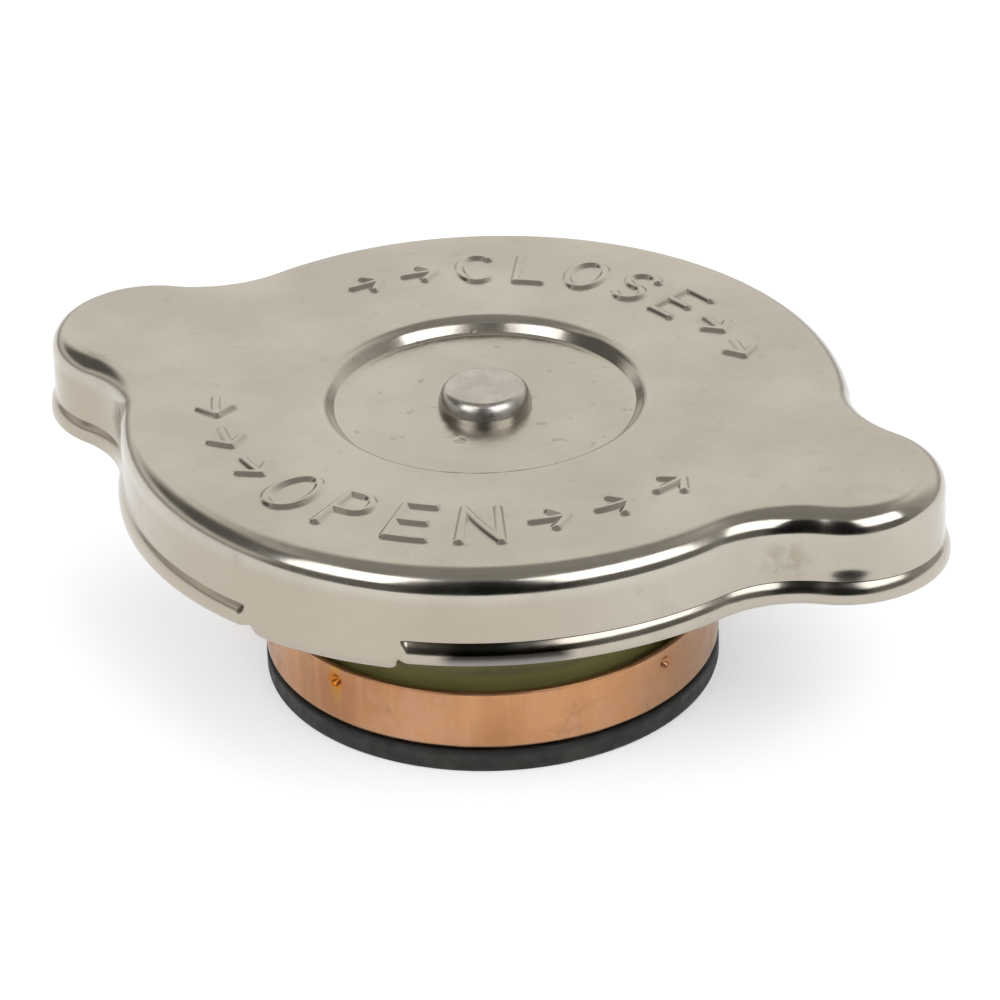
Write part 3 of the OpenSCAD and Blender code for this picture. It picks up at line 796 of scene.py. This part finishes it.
def dress(obj, slot):
    obj.data.materials.clear()
    obj.data.materials.append(MATERIALS[slot])


NODE_SHARP = 35

slots = {part["node"]: part["material_slot"] for part in frame["record"]["subparts"]}
for node_name, node_object in frame["nodes"].items():
    dress(node_object, slots[node_name])
    node_object.data.shade_smooth()
    node_object.data.set_sharp_from_angle(angle=math.radians(NODE_SHARP))

for piece, body, slot_name in (
    (cover, "cover", "nickel_plate"),
    (marks, "cover", "nickel_plate"),
    (rivet, "cover", "rivet_steel"),
    (cup, "pressure_valve", "copper"),
    (main_spring, "bell", "spring_steel"),
    (light_spring, "pressure_valve", "spring_steel"),
):
    dress(piece, slot_name)
    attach(piece, body)

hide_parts("cover_shell")
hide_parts("center_rivet")
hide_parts("pressure_cup")
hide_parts("pressure_spring")
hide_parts("vacuum_spring")
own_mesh(main_spring)
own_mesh(light_spring)


# Studio: pale floor, soft lamps, and a room whose camera side is dark so that the plate shows its edges

CAMERA_AZIMUTH = 27.02
CAMERA_ELEVATION = 29.7
CAMERA_DISTANCE = 0.451
CAMERA_ROLL = -1.89
CAMERA_LENS = 177.25
CAMERA_SHIFT = (0.0114, 0.0105)
CAMERA_SENSOR = 36
CAMERA_CLIP = (0.01, 20)
TARGET = Vector((0, 0, 0.015))
FLOOR_FRONT = 0.124
FLOOR_REACH = 3.0
FLOOR_GLOW = 0.4
ROOM_R = 2.6
ROOM_COLUMNS = 120
ROOM_ROWS = 72
ROOM_LOW = -20
ROOM_TINT = (1, 0.985, 0.95)
ROOM_WALL = 1.12
ROOM_CEILING = 0.40
LAMP_COLOR = (0.96, 0.985, 1.04)
WORLD_UNSEEN = 0.5


def direction(azimuth, elevation):
    a, e = math.radians(azimuth), math.radians(elevation)
    return Vector((math.sin(a) * math.cos(e), -math.cos(a) * math.cos(e), math.sin(e)))


def seen_light(tree):
    """1 for the rays of the camera and of mirrors, 0 for the rest."""
    path = tree.nodes.new("ShaderNodeLightPath")
    seen = path.outputs["Is Camera Ray"]
    for name in ("Is Glossy Ray", "Is Transmission Ray"):
        either = tree.nodes.new("ShaderNodeMath")
        either.operation = "MAXIMUM"
        tree.links.new(seen, either.inputs[0])
        tree.links.new(path.outputs[name], either.inputs[1])
        seen = either.outputs[0]
    return seen


def make_floor():
    """Sheet of pale paper that ends a little way before the cap, on the camera's side."""
    mesh = bpy.data.meshes.new("floor")
    ahead, beside = direction(CAMERA_AZIMUTH, 0), direction(CAMERA_AZIMUTH + 90, 0)
    corners = []
    for a, b in ((FLOOR_FRONT, -1), (FLOOR_FRONT, 1), (-FLOOR_REACH, 1), (-FLOOR_REACH, -1)):
        corners.append(a * ahead + b * FLOOR_REACH * beside)
    mesh.from_pydata(corners, [], [(0, 1, 2, 3)])
    floor = linked("floor", mesh)
    material, tree = node_material("floor_paper")
    shader = tree.nodes["Principled BSDF"]
    shader.inputs["Base Color"].default_value = (0.86, 0.86, 0.86, 1)
    shader.inputs["Roughness"].default_value = 0.9
    shader.inputs["Specular IOR Level"].default_value = 0.1
    shader.inputs["Emission Color"].default_value = (1, 1, 1, 1)
    seen = seen_light(tree)
    scaled = tree.nodes.new("ShaderNodeMath")
    scaled.operation = "MULTIPLY"
    scaled.inputs[1].default_value = FLOOR_GLOW
    tree.links.new(seen, scaled.inputs[0])
    tree.links.new(scaled.outputs[0], shader.inputs["Emission Strength"])
    mesh.materials.append(material)


def room_light(azimuth, elevation):
    """Brightness of the room in a direction, with azimuth measured from the camera's side."""
    turn = (azimuth + 180) % 360 - 180
    away = abs(turn)
    flank = smooth(away, 80, 100) * (1 - smooth(away, 130, 155))
    high = smooth(elevation, 38 + 10 * flank, 58 + 8 * flank)
    if turn > 0:
        beside = 1 - smooth(away, 100, 142)
        side = 0.36 + 0.2 * flank
    else:
        beside = 1 - smooth(away, 122, 148)
        side = 0.9 - 0.74 * smooth(elevation, 14, 24) + (0.2 + 0.7 * flank) * smooth(elevation, 48, 60)
    front = (1 - smooth(away, 60, 74)) * (1 - smooth(elevation, 46, 58))
    dark = 0.2 - 0.19 * (1 - smooth(away, 16, 34))
    horizon = 1 - (1 - smooth(elevation, 4, 18)) * (0.25 + 0.3 * (1 - smooth(away, 150, 172)))
    level = ROOM_WALL * horizon * (1 - high) + ROOM_CEILING * high
    level = level * (1 - beside) + min(level, side) * beside
    return level * (1 - front) + dark * front


def make_room():
    """Glowing wall round the cap that only mirrors see."""
    columns, rows = ROOM_COLUMNS, ROOM_ROWS
    points, colors, faces = [], [], []
    for r in range(rows + 1):
        elevation = ROOM_LOW + (90 - ROOM_LOW) * r / rows
        for c in range(columns):
            azimuth = 360 * c / columns
            points.append(ROOM_R * direction(CAMERA_AZIMUTH + azimuth, elevation))
            level = room_light(azimuth, elevation)
            colors.append((*(level * tint for tint in ROOM_TINT), 1))
    for r in range(rows):
        for c in range(columns):
            n = (c + 1) % columns
            faces.append((r * columns + c, r * columns + n, (r + 1) * columns + n, (r + 1) * columns + c))
    mesh = bpy.data.meshes.new("room")
    mesh.from_pydata(points, [], faces)
    shade = mesh.color_attributes.new("shade", "FLOAT_COLOR", "POINT")
    for i, color in enumerate(colors):
        shade.data[i].color = color
    room = linked("room", mesh)
    material, tree = node_material("room_wall")
    tree.nodes.clear()
    glow = tree.nodes.new("ShaderNodeEmission")
    paint = tree.nodes.new("ShaderNodeVertexColor")
    paint.layer_name = "shade"
    output = tree.nodes.new("ShaderNodeOutputMaterial")
    tree.links.new(paint.outputs["Color"], glow.inputs["Color"])
    tree.links.new(glow.outputs[0], output.inputs["Surface"])
    mesh.materials.append(material)
    room.visible_camera = False
    room.visible_diffuse = False
    room.visible_shadow = False
    room.visible_transmission = False


def make_lamp(name, azimuth, elevation, distance, size, radiance, seen=True):
    """Soft rectangular lamp aimed at the cap, with azimuth measured from the camera's side."""
    lamp = bpy.data.lights.new(name, "AREA")
    lamp.shape = "RECTANGLE"
    lamp.size, lamp.size_y = size
    lamp.energy = radiance * math.pi * size[0] * size[1]
    lamp.color = LAMP_COLOR
    obj = linked(name, lamp)
    back = direction(CAMERA_AZIMUTH + azimuth, elevation)
    obj.location = TARGET + distance * back
    obj.rotation_mode = "QUATERNION"
    obj.rotation_quaternion = back.to_track_quat("Z", "Y")
    obj.visible_camera = False
    obj.visible_glossy = seen


def make_world():
    """White surroundings, dimmer for light that is neither seen nor mirrored."""
    world = bpy.data.worlds.new("studio")
    bpy.context.scene.world = world
    world.use_nodes = True
    tree = world.node_tree
    background = tree.nodes["Background"]
    background.inputs["Color"].default_value = (1, 1, 1, 1)
    seen = seen_light(tree)
    level = tree.nodes.new("ShaderNodeMapRange")
    level.inputs["To Min"].default_value = WORLD_UNSEEN
    level.inputs["To Max"].default_value = 1.0
    tree.links.new(seen, level.inputs["Value"])
    tree.links.new(level.outputs["Result"], background.inputs["Strength"])


def make_camera():
    """Camera fitted to the photo's outlines."""
    data = bpy.data.cameras.new("photo_camera")
    data.sensor_width = CAMERA_SENSOR
    data.lens = CAMERA_LENS
    data.shift_x, data.shift_y = CAMERA_SHIFT
    data.clip_start, data.clip_end = CAMERA_CLIP
    camera = linked("photo_camera", data)
    back = direction(CAMERA_AZIMUTH, CAMERA_ELEVATION)
    camera.location = TARGET + CAMERA_DISTANCE * back
    camera.rotation_mode = "QUATERNION"
    turn = Quaternion((0, 0, 1), math.radians(CAMERA_ROLL))
    camera.rotation_quaternion = (-back).to_track_quat("-Z", "Y") @ turn
    bpy.context.scene.camera = camera


make_floor()
make_room()
make_world()
make_lamp("softbox_left", azimuth=-48, elevation=39, distance=0.9, size=(0.52, 0.56), radiance=2.9)
make_lamp("softbox_right", azimuth=43, elevation=39, distance=0.9, size=(0.68, 0.56), radiance=2.9)
make_lamp("top_fill", azimuth=180, elevation=70, distance=1.4, size=(1.2, 1.2), radiance=0.7, seen=False)
make_camera()
bpy.context.scene.view_settings.view_transform = "Standard"
